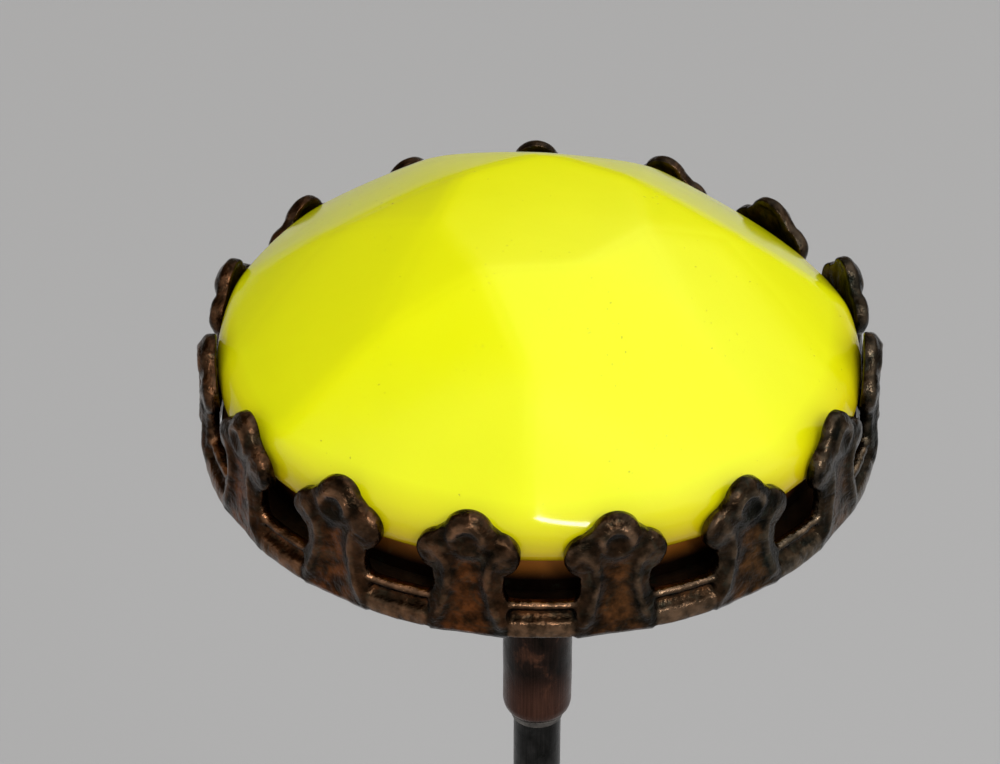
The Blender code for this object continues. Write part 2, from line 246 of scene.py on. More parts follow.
# Colours, linear
LEMON_TONES = ((0.820, 0.862, 0.003), (0.850, 0.888, 0.004))
# painted shade: amber on the stone's lower edge, standing in for its shading and the metal's reflection near
# the prongs
PAINTED_SHADE_AMBER = (0.46, 0.27, 0.003)
PAINTED_SHADE_HEIGHTS = (12.3 * MM, 14.0 * MM)     # heights between which the stone's painted amber shade and painted reflection of the metal, low on its edge, turn to lemon
PIT_COLOUR = (0.36, 0.33, 0.02)
PATINA_TONES = ((0.010, 0.009, 0.007), (0.040, 0.022, 0.013))
COPPERY_PATINA = (0.120, 0.048, 0.017)
RUBBED_PATINA = (0.230, 0.150, 0.105)
BLOOM_COLOUR = (0.036, 0.040, 0.033)
SIDE_TINTS = ((1.25, 0.95, 0.70), (0.85, 1.00, 0.98))
SIDE_TINT_REACH = 9 * MM
MOTTLE_TINTS = ((0.45, 0.47, 0.46), (1.35, 1.30, 1.25))
FERRULE_TONES = ((0.006, 0.005, 0.004), (0.022, 0.013, 0.010), (0.13, 0.055, 0.032))
FERRULE_COPPER = (0.085, 0.036, 0.024)
FERRULE_COPPER_START = 1.9 * MM
STEM_TONES = ((0.009, 0.009, 0.008), (0.026, 0.025, 0.024), (0.060, 0.048, 0.042))
SOLDER_TONES = ((0.035, 0.030, 0.026), (0.15, 0.135, 0.12), (0.27, 0.25, 0.23))
PLATE_TONES = ((0.020, 0.012, 0.008), (0.075, 0.043, 0.022), (0.15, 0.10, 0.05))
RING_TONES = ((0.008, 0.005, 0.003), (0.022, 0.011, 0.006), (0.050, 0.025, 0.012))
# partly tarnish, partly painted reflection: a bright red-brown band at the ring's top, which lies in shade
# under the stone's edge
TARNISH_AND_PAINTED_GLOW = (0.40, 0.125, 0.007)
TARNISH_AND_GLOW_DEPTHS = (0.95 * MM, 0.30 * MM)         # how far below the ring's top the tarnish and its painted copper glow start and are full
PLATE_SPOT = (0.030, 0.035, 0.024)
CARD_TONES = ((0.11, 0.085, 0.05), (0.20, 0.16, 0.10))
FLOOR_TONES = ((0.480, 0.493, 0.508), (0.496, 0.509, 0.524))


def polar(radius, angle, height):
    """A point at an angle measured from the front, -Y, towards +X."""
    return (radius * math.sin(angle), -radius * math.cos(angle), height)


# Materials

def start_material(name):
    material = bpy.data.materials.new(name)
    material.use_nodes = True
    return material, material.node_tree, material.node_tree.nodes["Principled BSDF"]


def feed(tree, socket, value):
    """Links another node's socket to this one, or sets a plain value on it."""
    if isinstance(value, bpy.types.NodeSocket):
        tree.links.new(value, socket)
    else:
        socket.default_value = value


def add_node(tree, kind, inputs=(), **settings):
    """A node with its settings, and its inputs given as (name or index, value or socket to link) pairs."""
    item = tree.nodes.new(kind)
    for key, value in settings.items():
        setattr(item, key, value)
    for key, value in inputs:
        feed(tree, item.inputs[key], value)
    return item


def place(tree, stretch=(1.0, 1.0, 1.0)):
    """Object coordinates, stretched where a pattern runs along the piece."""
    source = add_node(tree, "ShaderNodeTexCoord").outputs["Object"]
    return add_node(tree, "ShaderNodeMapping", [("Vector", source), ("Scale", stretch)]).outputs[0]


def noise_fac(tree, where, size, detail=3.0, roughness=0.5, distortion=0.0):
    """Cloudy noise whose features are about size metres across."""
    inputs = [("Vector", where), ("Scale", 1 / size), ("Detail", detail), ("Roughness", roughness)]
    inputs.append(("Distortion", distortion))
    return add_node(tree, "ShaderNodeTexNoise", inputs).outputs[0]


def ramp(tree, factor, positions, values):
    """A colour ramp with a grey or a colour at each position."""
    item = add_node(tree, "ShaderNodeValToRGB", [("Fac", factor)])
    elements = item.color_ramp.elements
    while len(elements) < len(positions):
        elements.new(0.5)
    for element, position, value in zip(elements, positions, values):
        element.position = position
        if isinstance(value, float):
            value = (value, value, value)
        element.color = (*value, 1.0)
    return item.outputs[0]


def mix(tree, factor, first, second, blend="MIX"):
    """Mixes two colours, each a socket or a plain colour."""
    item = add_node(tree, "ShaderNodeMix", [(0, factor)], data_type="RGBA", blend_type=blend)
    for index, value in ((6, first), (7, second)):
        if isinstance(value, tuple):
            value = (*value, 1.0)
        feed(tree, item.inputs[index], value)
    return item.outputs[2]


def math_node(tree, operation, first, second):
    return add_node(tree, "ShaderNodeMath", [(0, first), (1, second)], operation=operation).outputs[0]


def share_along(tree, axis, start, end):
    """A number that goes from 0 at one place along an object's axis to 1 at another."""
    distance = add_node(tree, "ShaderNodeSeparateXYZ", [(0, place(tree))]).outputs[axis]
    span = [("Value", distance), ("From Min", start), ("From Max", end)]
    return add_node(tree, "ShaderNodeMapRange", span).outputs[0]


def bump(tree, height, depth, normal=None):
    """Bumps depth metres high, on top of those in normal."""
    inputs = [("Strength", 1.0), ("Distance", depth), ("Height", height)]
    if normal:
        inputs.append(("Normal", normal))
    return add_node(tree, "ShaderNodeBump", inputs).outputs[0]


def connect(tree, shader, colour, roughness, normal, metallic):
    feed(tree, shader.inputs["Base Color"], colour)
    feed(tree, shader.inputs["Roughness"], roughness)
    feed(tree, shader.inputs["Normal"], normal)
    feed(tree, shader.inputs["Metallic"], metallic)


def stone_material():
    """Opaque lemon-yellow pressed glass: faint clouds, painted amber shade and painted reflection of the
    metal low down near its lower edge, a few clusters of pits, and light handling scratches."""
    material, tree, shader = start_material("opaque_yellow_glass")
    where = place(tree)
    colour = ramp(tree, noise_fac(tree, where, size=4.0 * MM, detail=2.0), (0.35, 0.65), LEMON_TONES)
    # painted shade and painted reflection of the metal: amber low on the stone, turning to lemon higher up
    colour = mix(tree, share_along(tree, "Z", *PAINTED_SHADE_HEIGHTS), PAINTED_SHADE_AMBER, colour)
    clusters = ramp(tree, noise_fac(tree, where, size=2.6 * MM, detail=1.0), (0.52, 0.62), (0.0, 1.0))
    specks = noise_fac(tree, where, size=0.13 * MM, detail=2.0, roughness=0.6)
    pits = math_node(tree, "MULTIPLY", clusters, ramp(tree, specks, (0.70, 0.76), (0.0, 1.0)))
    colour = mix(tree, pits, colour, PIT_COLOUR)
    haze = noise_fac(tree, where, size=1.6 * MM, detail=5.0, roughness=0.65)
    scratches = noise_fac(tree, place(tree, (1.0, 9.0, 1.0)), size=0.9 * MM, roughness=0.6)
    scratched = ramp(tree, scratches, (0.64, 0.70), (0.0, 0.6))
    roughness = mix(tree, scratched, ramp(tree, haze, (0.3, 0.7), (0.09, 0.16)), (0.24, 0.24, 0.24))
    ripple = bump(tree, noise_fac(tree, where, size=0.9 * MM, detail=2.0), 0.006 * MM)
    normal = bump(tree, pits, -0.008 * MM, ripple)
    connect(tree, shader, colour, roughness, normal, metallic=0.0)
    shader.inputs["IOR"].default_value = 1.43
    shader.inputs["Subsurface Weight"].default_value = 0.25
    shader.inputs["Subsurface Radius"].default_value = (1.0, 0.8, 0.15)
    shader.inputs["Subsurface Scale"].default_value = 0.5 * MM
    return material


def side_tint(tree, where):
    """A tint that drifts from coppery on the crown's left to greyer on its right."""
    side = share_along(tree, "X", -SIDE_TINT_REACH, SIDE_TINT_REACH)
    drift = noise_fac(tree, where, size=5.0 * MM, detail=2.0)
    tone = math_node(tree, "MULTIPLY", math_node(tree, "ADD", side, drift), 0.5)
    return ramp(tree, tone, (0.30, 0.70), SIDE_TINTS)


def patina_material():
    """Old stamped bronze: near-black patina, coppery brown in the channels, pinkish where it is rubbed, and a
    thin grey-green bloom."""
    material, tree, shader = start_material("old_gallery_metal")
    where = place(tree)
    worn = add_node(tree, "ShaderNodeAttribute", attribute_name="worn").outputs["Fac"]
    channel = add_node(tree, "ShaderNodeAttribute", attribute_name="channel").outputs["Fac"]
    coarse = noise_fac(tree, where, size=0.9 * MM, detail=4.0, roughness=0.6, distortion=0.4)
    medium = noise_fac(tree, where, size=0.4 * MM, roughness=0.55)
    fine = noise_fac(tree, where, size=0.15 * MM, detail=5.0, roughness=0.65)
    colour = ramp(tree, coarse, (0.36, 0.64), PATINA_TONES)
    coppery = ramp(tree, math_node(tree, "MULTIPLY", channel, medium), (0.20, 0.62), (0.0, 0.85))
    colour = mix(tree, coppery, colour, COPPERY_PATINA)
    rubbed = math_node(tree, "ADD", worn, math_node(tree, "MULTIPLY", medium, 0.5))
    rubbed = ramp(tree, math_node(tree, "MULTIPLY", rubbed, 0.7), (0.34, 0.90), (0.0, 0.9))
    colour = mix(tree, rubbed, colour, RUBBED_PATINA)
    bloom = noise_fac(tree, where, size=0.45 * MM, detail=4.0, roughness=0.7, distortion=0.8)
    colour = mix(tree, ramp(tree, bloom, (0.52, 0.72), (0.0, 0.65)), colour, BLOOM_COLOUR)
    colour = mix(tree, 1.0, colour, side_tint(tree, where), "MULTIPLY")
    colour = mix(tree, 1.0, colour, ramp(tree, medium, (0.36, 0.62), MOTTLE_TINTS), "MULTIPLY")
    sheen = noise_fac(tree, where, size=0.30 * MM, detail=5.0, roughness=0.7)
    roughness = mix(tree, rubbed, ramp(tree, sheen, (0.32, 0.70), (0.08, 0.31)), (0.14, 0.14, 0.14))
    dented = bump(tree, medium, 0.045 * MM, bump(tree, fine, 0.020 * MM))
    normal = bump(tree, coarse, 0.10 * MM, dented)
    connect(tree, shader, colour, roughness, normal, metallic=1.0)
    return material


def drawn_material(name, tones, roughness_range, copper_start=None):
    """Drawn metal with a dark skin: fine lines along the pin, blotches, and copper showing through. Below
    copper_start, where that is given, more and more copper shows."""
    material, tree, shader = start_material(name)
    lines = noise_fac(tree, place(tree, (1.0, 1.0, 0.03)), size=0.05 * MM, roughness=0.6)
    where = place(tree, (1.0, 1.0, 0.6))
    blotches = noise_fac(tree, where, size=0.8 * MM, detail=5.0, roughness=0.65, distortion=0.5)
    colour = ramp(tree, blotches, (0.35, 0.58, 0.74), tones)
    if copper_start:
        lower = share_along(tree, "Z", copper_start, copper_start / 2)
        colour = mix(tree, math_node(tree, "MULTIPLY", lower, 0.75), colour, FERRULE_COPPER)
    colour = mix(tree, 1.0, colour, ramp(tree, lines, (0.35, 0.65), (0.75, 1.25)), "MULTIPLY")
    sheen = noise_fac(tree, where, size=0.35 * MM, detail=5.0, roughness=0.7)
    roughness = ramp(tree, sheen, (0.30, 0.70), roughness_range)
    normal = bump(tree, blotches, 0.02 * MM, bump(tree, lines, 0.004 * MM))
    connect(tree, shader, colour, roughness, normal, metallic=1.0)
    return material


def solder_material():
    """Dull lead-grey solder, oxidised darker in cloudy patches, with small frozen ripples."""
    material, tree, shader = start_material("dull_solder")
    where = place(tree)
    clouds = noise_fac(tree, where, size=0.7 * MM, detail=5.0, roughness=0.6, distortion=0.5)
    grain = noise_fac(tree, where, size=0.09 * MM, detail=4.0, roughness=0.7)
    colour = ramp(tree, clouds, (0.30, 0.55, 0.75), SOLDER_TONES)
    roughness = ramp(tree, grain, (0.3, 0.7), (0.34, 0.58))
    normal = bump(tree, grain, 0.010 * MM, bump(tree, clouds, 0.05 * MM))
    connect(tree, shader, colour, roughness, normal, metallic=1.0)
    return material


def turning_rings(tree, where):
    """Fine rings round the pin's axis, as a lathe tool leaves."""
    inputs = [("Vector", where), ("Scale", 1400.0), ("Distortion", 1.5), ("Detail", 3.0)]
    inputs.append(("Detail Scale", 2.0))
    return add_node(tree, "ShaderNodeTexWave", inputs, wave_type="RINGS", rings_direction="Z").outputs[1]


def plate_material(name, tones, top=None):
    """Dull dark brass with faint turning rings. Where the height of its top is given, a red-brown band covers
    the metal there: partly a crust of tarnish, partly a painted reflection of copper glow, and less metallic."""
    material, tree, shader = start_material(name)
    where = place(tree)
    clouds = noise_fac(tree, where, size=2.2 * MM, detail=5.0, roughness=0.6, distortion=0.4)
    spots = noise_fac(tree, where, size=0.35 * MM, detail=4.0, roughness=0.7)
    colour = ramp(tree, clouds, (0.32, 0.55, 0.75), tones)
    colour = mix(tree, ramp(tree, spots, (0.58, 0.70), (0.0, 1.0)), colour, PLATE_SPOT)
    metallic = 1.0
    if top:
        start, full = TARNISH_AND_GLOW_DEPTHS
        # painted reflection over real tarnish: the ring's shaded top gets a bright red-brown, less metallic
        # band
        tarnish_and_glow = share_along(tree, "Z", top - start, top - full)
        colour = mix(tree, tarnish_and_glow, colour, TARNISH_AND_PAINTED_GLOW)
        metallic = ramp(tree, tarnish_and_glow, (0.0, 1.0), (1.0, 0.1))
    roughness = ramp(tree, clouds, (0.3, 0.7), (0.42, 0.62))
    normal = bump(tree, turning_rings(tree, where), 0.004 * MM, bump(tree, clouds, 0.03 * MM))
    connect(tree, shader, colour, roughness, normal, metallic)
    return material


def card_material():
    """Brown packing card, fibrous and stained."""
    material, tree, shader = start_material("brown_card")
    stains = noise_fac(tree, place(tree), size=2.5 * MM, detail=4.0, roughness=0.6)
    fibres = noise_fac(tree, place(tree, (1.0, 6.0, 1.0)), size=0.30 * MM, detail=4.0, roughness=0.7)
    colour = ramp(tree, stains, (0.35, 0.65), CARD_TONES)
    roughness = ramp(tree, fibres, (0.3, 0.7), (0.82, 0.95))
    connect(tree, shader, colour, roughness, bump(tree, fibres, 0.02 * MM), metallic=0.0)
    return material


def floor_material():
    """Plain pale grey, hardly uneven."""
    material, tree, shader = start_material("pale_floor")
    colour = ramp(tree, noise_fac(tree, place(tree), size=0.3, detail=2.0), (0.3, 0.7), FLOOR_TONES)
    feed(tree, shader.inputs["Base Color"], colour)
    shader.inputs["Roughness"].default_value = 0.55
    return material


# Mesh building

def add_piece(name, vertices, faces, material, node):
    """A new piece that stands for a CAD node."""
    mesh = bpy.data.meshes.new(name)
    mesh.from_pydata([tuple(vertex) for vertex in vertices], [], faces)
    mesh.shade_smooth()
    mesh.materials.append(material)
    piece = bpy.data.objects.new(name, mesh)
    bpy.context.scene.collection.objects.link(piece)
    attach(piece, "root")
    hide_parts(node)
    return piece


def set_shares(piece, name, values):
    """One number for each point of the piece, for its material to read."""
    attribute = piece.data.attributes.new(name, "FLOAT", "POINT")
    attribute.data.foreach_set("value", np.asarray(values, np.float32))


def skin_faces(rings, steps, closed):
    """Quads between neighbouring rings of points, and from the last ring back to the first if closed."""
    faces = []
    for upper in range(rings if closed else rings - 1):
        lower = (upper + 1) % rings
        for i in range(steps):
            j = (i + 1) % steps
            faces.append((upper * steps + i, lower * steps + i, lower * steps + j, upper * steps + j))
    return faces


def cap_faces(centre, rings, steps):
    """Fans that close the first ring round the point numbered centre, and the last round the next point."""
    last = (rings - 1) * steps
    faces = [(centre, i, (i + 1) % steps) for i in range(steps)]
    return faces + [(centre + 1, last + (i + 1) % steps, last + i) for i in range(steps)]


def rounded(profile, radius, closed):
    """The profile with each corner turned into a small curve."""
    points = [Vector(point) for point in profile]
    count = len(points)
    result = []
    for i, corner in enumerate(points):
        if not closed and i in (0, count - 1):
            result.append(corner)
            continue
        before = points[i - 1] - corner
        after = points[(i + 1) % count] - corner
        reach = min(radius, before.length * LONGEST_CORNER, after.length * LONGEST_CORNER)
        start = corner + before.normalized() * reach
        end = corner + after.normalized() * reach
        for k in range(CORNER_STEPS + 1):
            share = k / CORNER_STEPS
            result.append(start * (1 - share) ** 2 + corner * 2 * share * (1 - share) + end * share**2)
    return result


def divided(profile, spacing, closed):
    """The profile with long stretches divided, so that they can be uneven."""
    result = []
    count = len(profile)
    for i in range(count if closed else count - 1):
        start = profile[i]
        end = profile[(i + 1) % count]
        pieces = max(1, math.ceil((end - start).length / spacing))
        result += [start.lerp(end, k / pieces) for k in range(pieces)]
    if not closed:
        result.append(profile[-1])
    return result


def uneven(point, size, amount):
    """How far a surface stands out or in at a point, smoothly."""
    return amount * noise.noise(Vector(point) / size)


def turned_piece(name, profile, material, node, closed, steps, corner, spacing, wobble, wobble_size):
    """A turned piece with rounded corners and a slightly uneven surface. Its (radius, height) profile runs
    down its outer side. A closed one goes on up the inner side, and an open one starts and ends on the axis.
    """
    points = divided(rounded(profile, corner, closed), spacing, closed)
    if not closed:
        points = points[1:-1]
    vertices = []
    for radius, height in points:
        for i in range(steps):
            angle = 2 * math.pi * i / steps
            reach = radius + uneven(polar(radius, angle, height), wobble_size, wobble)
            vertices.append(polar(reach, angle, height))
    faces = skin_faces(len(points), steps, closed)
    if not closed:
        faces += cap_faces(len(vertices), len(points), steps)
        vertices += [(0.0, 0.0, profile[0][1]), (0.0, 0.0, profile[-1][1])]
    return add_piece(name, vertices, faces, material, node)


# The stone

stone_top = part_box("faceted_stone")[1].z


def facet_planes(node):
    """The planes of the upward facets of the CAD stone, as (normal, distance from the origin) pairs."""
    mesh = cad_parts[node].data
    planes = []
    for polygon in sorted(mesh.polygons, key=lambda item: -item.area):
        normal = polygon.normal.copy()
        distance = normal.dot(mesh.vertices[polygon.vertices[0]].co)
        known = False
        for other, reach in planes:
            known = known or (normal.dot(other) > SAME_NORMAL and abs(distance - reach) < SAME_DISTANCE)
        if normal.z > UPWARD and not known:
            planes.append((normal, distance))
    return planes


def stone_height(planes, x, y):
    """Height of the ground crown over a point: the lowest facet, softly rounded at its edges and bowed a
    little towards the round blank it was ground from."""
    heights = np.array([(distance - normal.x * x - normal.y * y) / normal.z for normal, distance in planes])
    lowest = heights.min(axis=0)
    rounding = FACET_SOFTNESS * np.log(np.exp((lowest - heights) / FACET_SOFTNESS).sum(axis=0))
    dome = stone_top + DOME_TOP - DOME_RADIUS + np.sqrt(DOME_RADIUS**2 - x**2 - y**2)
    return lowest - rounding + DOME_SHARE * (dome - lowest) - CROWN_TILT * x


def crown_rings(planes, directions, outer):
    """Rings of points out over the ground crown, then round the girdle to the stone's widest line."""
    near, far = outer - SLOPE_POINTS[0], outer - SLOPE_POINTS[1]
    drop = stone_height(planes, *(directions * far)) - stone_height(planes, *(directions * near))
    slope = np.arctan(drop / (near - far))
    crown_radius = outer - GIRDLE_ROUNDING * (1 - np.sin(slope))
    middle_height = stone_height(planes, *(directions * crown_radius)) - GIRDLE_ROUNDING * np.cos(slope)
    rings = []
    for k in range(1, STONE_RINGS + 1):
        x, y = directions * crown_radius * k / STONE_RINGS
        rings.append(np.stack([x, y, stone_height(planes, x, y)], axis=1))
    for k in range(1, GIRDLE_STEPS + 1):
        turn = (math.pi / 2 - slope) * (1 - k / GIRDLE_STEPS)
        x, y = directions * (outer - GIRDLE_ROUNDING * (1 - np.cos(turn)))
        rings.append(np.stack([x, y, middle_height + GIRDLE_ROUNDING * np.sin(turn)], axis=1))
    return rings


def back_rings(edge, directions, outer, back):
    """Rings down from the widest line, whose heights are in edge, round the bevel and in over the back."""
    bevel = np.minimum(BACK_BEVEL, edge - back - THINNEST_WALL)
    rings = []
    for k in range(1, WALL_STEPS + 1):
        x, y = directions * outer
        rings.append(np.stack([x, y, edge + (back + bevel - edge) * k / WALL_STEPS], axis=1))
    for k in range(1, BEVEL_STEPS + 1):
        turn = math.pi / 2 * k / BEVEL_STEPS
        x, y = directions * (outer - BACK_BEVEL * (1 - math.cos(turn)))
        rings.append(np.stack([x, y, back + bevel * (1 - math.sin(turn))], axis=1))
    for k in range(1, BACK_STEPS):
        x, y = directions * (outer - BACK_BEVEL) * (1 - k / BACK_STEPS)
        rings.append(np.stack([x, y, np.full_like(x, back)], axis=1))
    return rings


def make_stone():
    low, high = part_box("faceted_stone")
    outer = high.x + STONE_SPREAD
    angles = np.arange(STONE_STEPS) * 2 * math.pi / STONE_STEPS
    directions = np.stack([np.sin(angles), -np.cos(angles)])
    rings = crown_rings(facet_planes("faceted_stone"), directions, outer)
    rings += back_rings(rings[-1][:, 2], directions, outer, low.z)
    vertices = [Vector(point) for ring in rings for point in ring]
    for vertex in vertices:
        vertex.z += uneven(vertex, STONE_WAVE_SIZE, STONE_WAVE)
    faces = skin_faces(len(rings), STONE_STEPS, False) + cap_faces(len(vertices), len(rings), STONE_STEPS)
    vertices += [Vector((0, 0, vertices[0].z)), Vector((0, 0, low.z))]
    add_piece("ground_stone", vertices, faces, stone_material(), "faceted_stone")


# The crown

crown_low, crown_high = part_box("crown_gallery")
rail_bottom = crown_low.z
inner_radius = crown_high.x - BEAD_STAND - STRIP_THICKNESS
roll_radius = inner_radius + STRIP_THICKNESS / 2
pitch = 2 * math.pi * roll_radius / PRONG_COUNT


def circle_crossing(first, first_radius, second, second_radius):
    """Where two circles cross, on the left of the line from the first to the second."""
    apart = Vector(second) - Vector(first)
    distance = apart.length
    along = (distance**2 + first_radius**2 - second_radius**2) / (2 * distance)
    across = math.sqrt(first_radius**2 - along**2)
    unit = apart / distance
    return Vector(first) + unit * along + Vector((-unit.y, unit.x)) * across


def arc(centre, radius, start, end, steps):
    angles = [start + (end - start) * i / steps for i in range(steps + 1)]
    return [Vector(centre) + Vector((math.cos(angle), math.sin(angle))) * radius for angle in angles]


def prong_half_outline():
    """Right half of a prong's contour, from the rail up to the top."""
    notch = circle_crossing(TOP_LOBE, TOP_LOBE_RADIUS, SIDE_LOBE, SIDE_LOBE_RADIUS)
    side_end = math.atan2(notch.y - SIDE_LOBE[1], notch.x - SIDE_LOBE[0])
    top_start = math.atan2(notch.y - TOP_LOBE[1], notch.x)
    flare = FOOT_HALF_WIDTH - WAIST_HALF_WIDTH
    rise = WAIST_HEIGHT - RAIL_HEIGHT
    points = []
    for i in range(FLARE_STEPS + 1):
        turn = math.pi / 2 * i / FLARE_STEPS
        width = FOOT_HALF_WIDTH - flare * math.sin(turn)
        points.append(Vector((width, RAIL_HEIGHT + rise * (1 - math.cos(turn)))))
    points += arc(SIDE_LOBE, SIDE_LOBE_RADIUS, SIDE_LOBE_START, side_end - NOTCH_FILL, SIDE_LOBE_STEPS)
    points += arc(TOP_LOBE, TOP_LOBE_RADIUS, top_start + NOTCH_FILL, math.pi / 2, TOP_LOBE_STEPS)
    return points


def evenly(points, spacing):
    """The polyline's first point and points spaced along it, up to and with its last point."""
    lengths = [0.0]
    for start, end in zip(points, points[1:]):
        lengths.append(lengths[-1] + (end - start).length)
    count = max(1, round(lengths[-1] / spacing))
    targets = np.linspace(0.0, lengths[-1], count + 1)
    x = np.interp(targets, lengths, [point.x for point in points])
    y = np.interp(targets, lengths, [point.y for point in points])
    return np.stack([x, y], axis=1)


def distance_to(points, line):
    """Distance from each point to a polyline."""
    start = line[:-1]
    step = line[1:] - start
    offset = points[:, None, :] - start[None, :, :]
    share = np.clip((offset * step).sum(axis=2) / (step**2).sum(axis=1), 0, 1)
    return np.linalg.norm(offset - share[:, :, None] * step, axis=2).min(axis=1)


def tile_lines():
    """The free upper edge of one pitch of the strip, from right to left, and its lower edge."""
    upper = [Vector((pitch / 2, RAIL_HEIGHT))] + prong_half_outline()
    right = evenly(upper, FILL_SPACING)
    left = right[-2::-1] * (-1, 1)
    across = np.linspace(-pitch / 2, pitch / 2, round(pitch / FILL_SPACING) + 1)
    lower = np.stack([across, np.zeros_like(across)], axis=1)
    return np.concatenate([right, left]), lower


def edge_rows(line, rounding):
    """Rows of points just inside a free edge, so that its rounding is smooth."""
    along = np.gradient(line, axis=0)
    across = np.stack([-along[:, 1], along[:, 0]], axis=1)
    across /= np.linalg.norm(across, axis=1)[:, None]
    rows = []
    for share in EDGE_ROWS:
        inset = share * rounding
        row = line + across * inset
        rows.append(row[distance_to(row, line) > ROW_CLEARANCE * inset])
    return rows


def prong_grid(outline):
    """A triangular grid of points over the prong and its foot."""
    xs = np.arange(-pitch / 2, pitch / 2, FILL_SPACING)
    ys = np.arange(0.0, PRONG_TOP, FILL_SPACING * math.sqrt(0.75))
    grid = np.array([(x + FILL_SPACING / 2 * (j % 2), y) for j, y in enumerate(ys) for x in xs])
    on_prong = (np.abs(grid[:, 0]) < RAIL_GRID_START) | (grid[:, 1] > RAIL_HEIGHT)
    return grid[(distance_to(grid, outline) > GRID_CLEARANCE) & on_prong]


def rail_grid():
    """A grid of points over the rail, closer together across its bead than along it."""
    columns = np.arange(RAIL_GRID_START, pitch / 2, RAIL_SPACING[0])
    rows = np.arange(RAIL_GRID_BOTTOM, RAIL_HEIGHT - EDGE_ROUNDING, RAIL_SPACING[1])
    return np.array([(side * x, y) for side in (-1, 1) for x in columns for y in rows])


def tile_mesh():
    """Points, triangles and free edges of one pitch of the flat strip."""
    upper, lower = tile_lines()
    side = np.linspace(0.0, RAIL_HEIGHT, round(RAIL_HEIGHT / FILL_SPACING) + 1)[1:-1]
    right = np.stack([np.full_like(side, pitch / 2), side], axis=1)
    left = right[::-1] * (-1, 1)
    outline = np.concatenate([lower, right, upper, left])
    rows = edge_rows(upper, EDGE_ROUNDING) + edge_rows(lower[::-1], LOWER_ROUNDING)
    inside = np.concatenate(rows + [prong_grid(outline), rail_grid()])
    inside = inside[pitch / 2 - np.abs(inside[:, 0]) > SIDE_CLEARANCE]
    points = [Vector(point) for point in np.concatenate([outline, inside])]
    loop = [(i, (i + 1) % len(outline)) for i in range(len(outline))]
    found = delaunay_2d_cdt(points, loop, [], INSIDE_TRIANGLES, TRIANGULATION_TOLERANCE)
    flat = np.array([tuple(point) for point in found[0]])
    return flat, found[2], [upper, lower]


def ridge_line():
    """The curve of the raised ridge from a side lobe down to the foot's corner."""
    t = np.linspace(0, 1, RIDGE_POINTS)[:, None]
    a, b, c, d = [np.array(point) * MM for point in RIDGE]
    return a * (1 - t) ** 3 + 3 * b * t * (1 - t) ** 2 + 3 * c * t**2 * (1 - t) + d * t**3


def smooth_step(low, high, value):
    share = np.clip((value - low) / (high - low), 0, 1)
    return share * share * (3 - 2 * share)


def dome(across, up, centre, radius):
    return np.clip(1 - ((across - centre[0]) ** 2 + (up - centre[1]) ** 2) / radius**2, 0, None)


def edge_drop(gap, rounding):
    """How far a rounded edge has dropped away at a distance from it."""
    inset = np.clip(rounding - gap, 0, rounding)
    return rounding - np.sqrt(rounding**2 - inset**2)


def prong_features(across, up, line):
    """How far each raised feature of a prong stands out: its hollow's rim, its ears and its ridges."""
    rim_gap = np.hypot(across - HOLLOW[0], up - HOLLOW[1]) - HOLLOW_RIM_RADIUS
    rim_share = (1 - HOLLOW_RIM_LEAST) * smooth_step(*HOLLOW_RIM_FADE, up - HOLLOW[1]) + HOLLOW_RIM_LEAST
    rim = HOLLOW_RIM_RISE * rim_share * np.exp(-((rim_gap / HOLLOW_RIM_WIDTH) ** 2))
    ear = EAR_DOME_RISE * np.sqrt(dome(across, up, EAR_DOME, EAR_DOME_RADIUS))
    ridge_gap = distance_to(np.stack([across, up], axis=1), line)
    ridge = RIDGE_RISE * np.exp(-((ridge_gap / RIDGE_WIDTH) ** 2)) * smooth_step(0.0, RIDGE_RUN_IN, up)
    return np.stack([rim, ear, ridge])


def channel_share(across, up, line):
    """How deep each point lies in the channel between a prong's ridges, from 0 to 1."""
    ridge_at = np.interp(up, line[::-1, 1], line[::-1, 0])
    channel = np.clip(1 - (across / np.maximum(ridge_at, NARROWEST_CHANNEL)) ** 2, 0, 1)
    return channel * (1 - smooth_step(*CHANNEL_END, up))


def wear(features, gap, up, bead, foot):
    """How rubbed each point is: most on crests, on the bead and along the upper edge, which is gap away."""
    crest = np.clip(features.max(axis=0) / CREST_STAND, 0, 1) ** 2
    edge = np.exp(-((gap / WORN_EDGE_WIDTH) ** 2))
    rail_edge = np.exp(-(((up - RAIL_HEIGHT) / WORN_RAIL_WIDTH) ** 2))
    rail = (WORN_BEAD * bead + WORN_RAIL * rail_edge) * (1 - foot)
    return np.clip(WORN_ALL + WORN_CREST * crest + WORN_EDGE * edge + rail, 0, 1)


